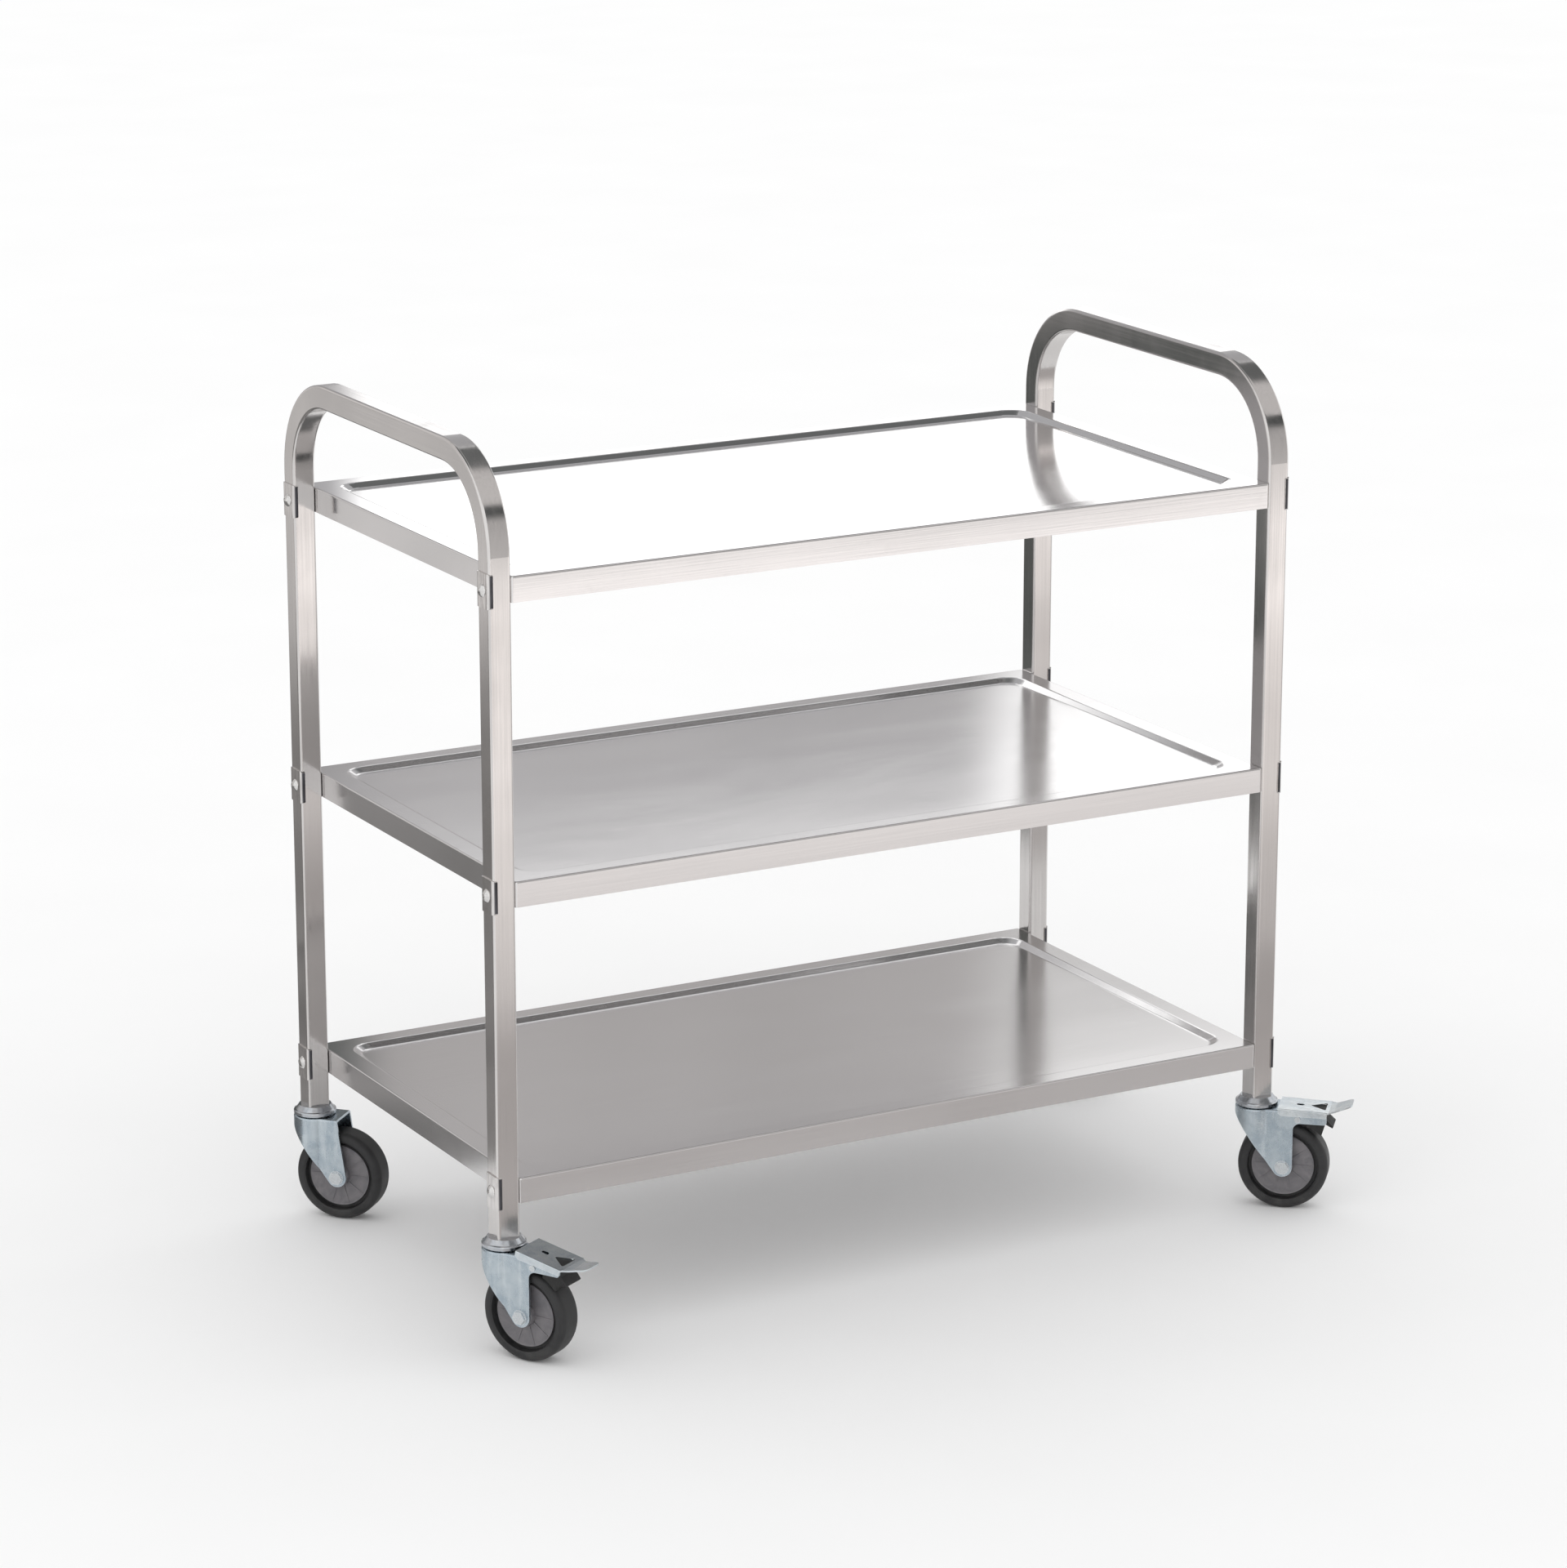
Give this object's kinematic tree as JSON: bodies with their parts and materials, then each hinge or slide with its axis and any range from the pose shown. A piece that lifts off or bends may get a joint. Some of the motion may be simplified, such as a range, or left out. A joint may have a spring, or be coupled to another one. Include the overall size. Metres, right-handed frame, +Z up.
{
  "type": "food service trolley",
  "caption": "Stainless steel service trolley: bent square-tube end frames carry pressed shelves and serve as push handles, on swivel casters with foot brakes at the front.",
  "frame": {"origin": "on the floor under the middle of the outline, casters and pedals as they stand", "axes": "+X along the shelves to the right-hand handle, +Y from the braked front to the back, +Z up"},
  "size_m": [1.0358, 0.5978, 0.945],
  "materials": {
    "stainless_tube": "polished stainless steel tube, nearly mirror bright",
    "stainless_sheet": "polished stainless steel sheet with soft reflections",
    "stainless_channel": "mill-finish stainless steel sheet",
    "stainless_clip": "polished stainless steel clip",
    "stainless_fastener": "polished stainless steel screw head",
    "weld_nut": "plain stainless steel",
    "steel_plug": "plain turned steel",
    "grey_black_rubber": "matt black solid rubber",
    "grey_plastic_hub": "dark grey moulded plastic with a fine grain",
    "black_rubber": "matt black rubber",
    "bearing_steel": "polished steel ball",
    "sleeve_steel": "plain turned steel",
    "spring_steel": "blued spring steel strip",
    "zinc_pedal": "bright blue-white zinc plate",
    "zinc_fastener": "bright blue-white zinc plate",
    "zinc_race": "bright zinc plate",
    "zinc_fork": "satin blue-white zinc plate"
  },
  "bodies": {
    "frame": {"end_frame_left": "stainless_tube", "end_frame_right": "stainless_tube", "joint_saddles": "stainless_clip", "joint_bolts": "stainless_fastener", "joint_nuts": "weld_nut", "leg_plugs": "steel_plug", "shelf_bottom": "stainless_sheet", "stiffener_bottom": "stainless_channel", "shelf_middle": "stainless_sheet", "stiffener_middle": "stainless_channel", "shelf_top": "stainless_sheet", "stiffener_top": "stainless_channel", "front_left_stem": "zinc_fastener", "front_left_stem_nut": "zinc_fastener", "front_left_dish": "zinc_race", "back_left_stem": "zinc_fastener", "back_left_stem_nut": "zinc_fastener", "back_left_dish": "zinc_race", "front_right_stem": "zinc_fastener", "front_right_stem_nut": "zinc_fastener", "front_right_dish": "zinc_race", "back_right_stem": "zinc_fastener", "back_right_stem_nut": "zinc_fastener", "back_right_dish": "zinc_race"},
    "front_left_swivel": {"front_left_bearing_balls": "bearing_steel", "front_left_fork": "zinc_fork", "front_left_axle_bolt": "zinc_fastener", "front_left_axle_nut": "zinc_fastener", "front_left_axle_sleeve": "sleeve_steel", "front_left_brake_pivot": "zinc_fastener", "front_left_brake_spring": "spring_steel"},
    "front_left_wheel": {"front_left_wheel_core": "grey_plastic_hub", "front_left_tyre": "grey_black_rubber"},
    "front_left_brake": {"front_left_brake_pedal": "zinc_pedal", "front_left_brake_shoe": "black_rubber"},
    "back_left_swivel": {"back_left_bearing_balls": "bearing_steel", "back_left_fork": "zinc_fork", "back_left_axle_bolt": "zinc_fastener", "back_left_axle_nut": "zinc_fastener", "back_left_axle_sleeve": "sleeve_steel"},
    "back_left_wheel": {"back_left_wheel_core": "grey_plastic_hub", "back_left_tyre": "grey_black_rubber"},
    "front_right_swivel": {"front_right_bearing_balls": "bearing_steel", "front_right_fork": "zinc_fork", "front_right_axle_bolt": "zinc_fastener", "front_right_axle_nut": "zinc_fastener", "front_right_axle_sleeve": "sleeve_steel", "front_right_brake_pivot": "zinc_fastener", "front_right_brake_spring": "spring_steel"},
    "front_right_wheel": {"front_right_wheel_core": "grey_plastic_hub", "front_right_tyre": "grey_black_rubber"},
    "front_right_brake": {"front_right_brake_pedal": "zinc_pedal", "front_right_brake_shoe": "black_rubber"},
    "back_right_swivel": {"back_right_bearing_balls": "bearing_steel", "back_right_fork": "zinc_fork", "back_right_axle_bolt": "zinc_fastener", "back_right_axle_nut": "zinc_fastener", "back_right_axle_sleeve": "sleeve_steel"},
    "back_right_wheel": {"back_right_wheel_core": "grey_plastic_hub", "back_right_tyre": "grey_black_rubber"}
  },
  "joints": [
    {"name": "front_left_swivel", "type": "hinge", "parent": "frame", "child": "front_left_swivel", "pos_m": [-0.49445, -0.19962, 0.116], "axis": [0, 0, 1], "continuous": true},
    {"name": "front_left_roll", "type": "hinge", "parent": "front_left_swivel", "child": "front_left_wheel", "pos_m": [-0.47845, -0.22733, 0.05], "axis": [0.866, 0.5, 0], "continuous": true},
    {"name": "front_left_brake", "type": "hinge", "parent": "front_left_swivel", "child": "front_left_brake", "pos_m": [-0.47045, -0.24119, 0.1065], "axis": [0.866, 0.5, 0], "range_deg": [-10, 0]},
    {"name": "back_left_swivel", "type": "hinge", "parent": "frame", "child": "back_left_swivel", "pos_m": [-0.49445, 0.27538, 0.116], "axis": [0, 0, 1], "continuous": true},
    {"name": "back_left_roll", "type": "hinge", "parent": "back_left_swivel", "child": "back_left_wheel", "pos_m": [-0.47262, 0.25198, 0.05], "axis": [0.7314, 0.682, 0], "continuous": true},
    {"name": "front_right_swivel", "type": "hinge", "parent": "frame", "child": "front_right_swivel", "pos_m": [0.43055, -0.19962, 0.116], "axis": [0, 0, 1], "continuous": true},
    {"name": "front_right_roll", "type": "hinge", "parent": "front_right_swivel", "child": "front_right_wheel", "pos_m": [0.45471, -0.22061, 0.05], "axis": [0.6561, 0.7547, 0], "continuous": true},
    {"name": "front_right_brake", "type": "hinge", "parent": "front_right_swivel", "child": "front_right_brake", "pos_m": [0.46678, -0.23111, 0.1065], "axis": [0.6561, 0.7547, 0], "range_deg": [0, 10]},
    {"name": "back_right_swivel", "type": "hinge", "parent": "frame", "child": "back_right_swivel", "pos_m": [0.43055, 0.27538, 0.116], "axis": [0, 0, 1], "continuous": true},
    {"name": "back_right_roll", "type": "hinge", "parent": "back_right_swivel", "child": "back_right_wheel", "pos_m": [0.45112, 0.25087, 0.05], "axis": [0.766, 0.6428, 0], "continuous": true}
  ]
}
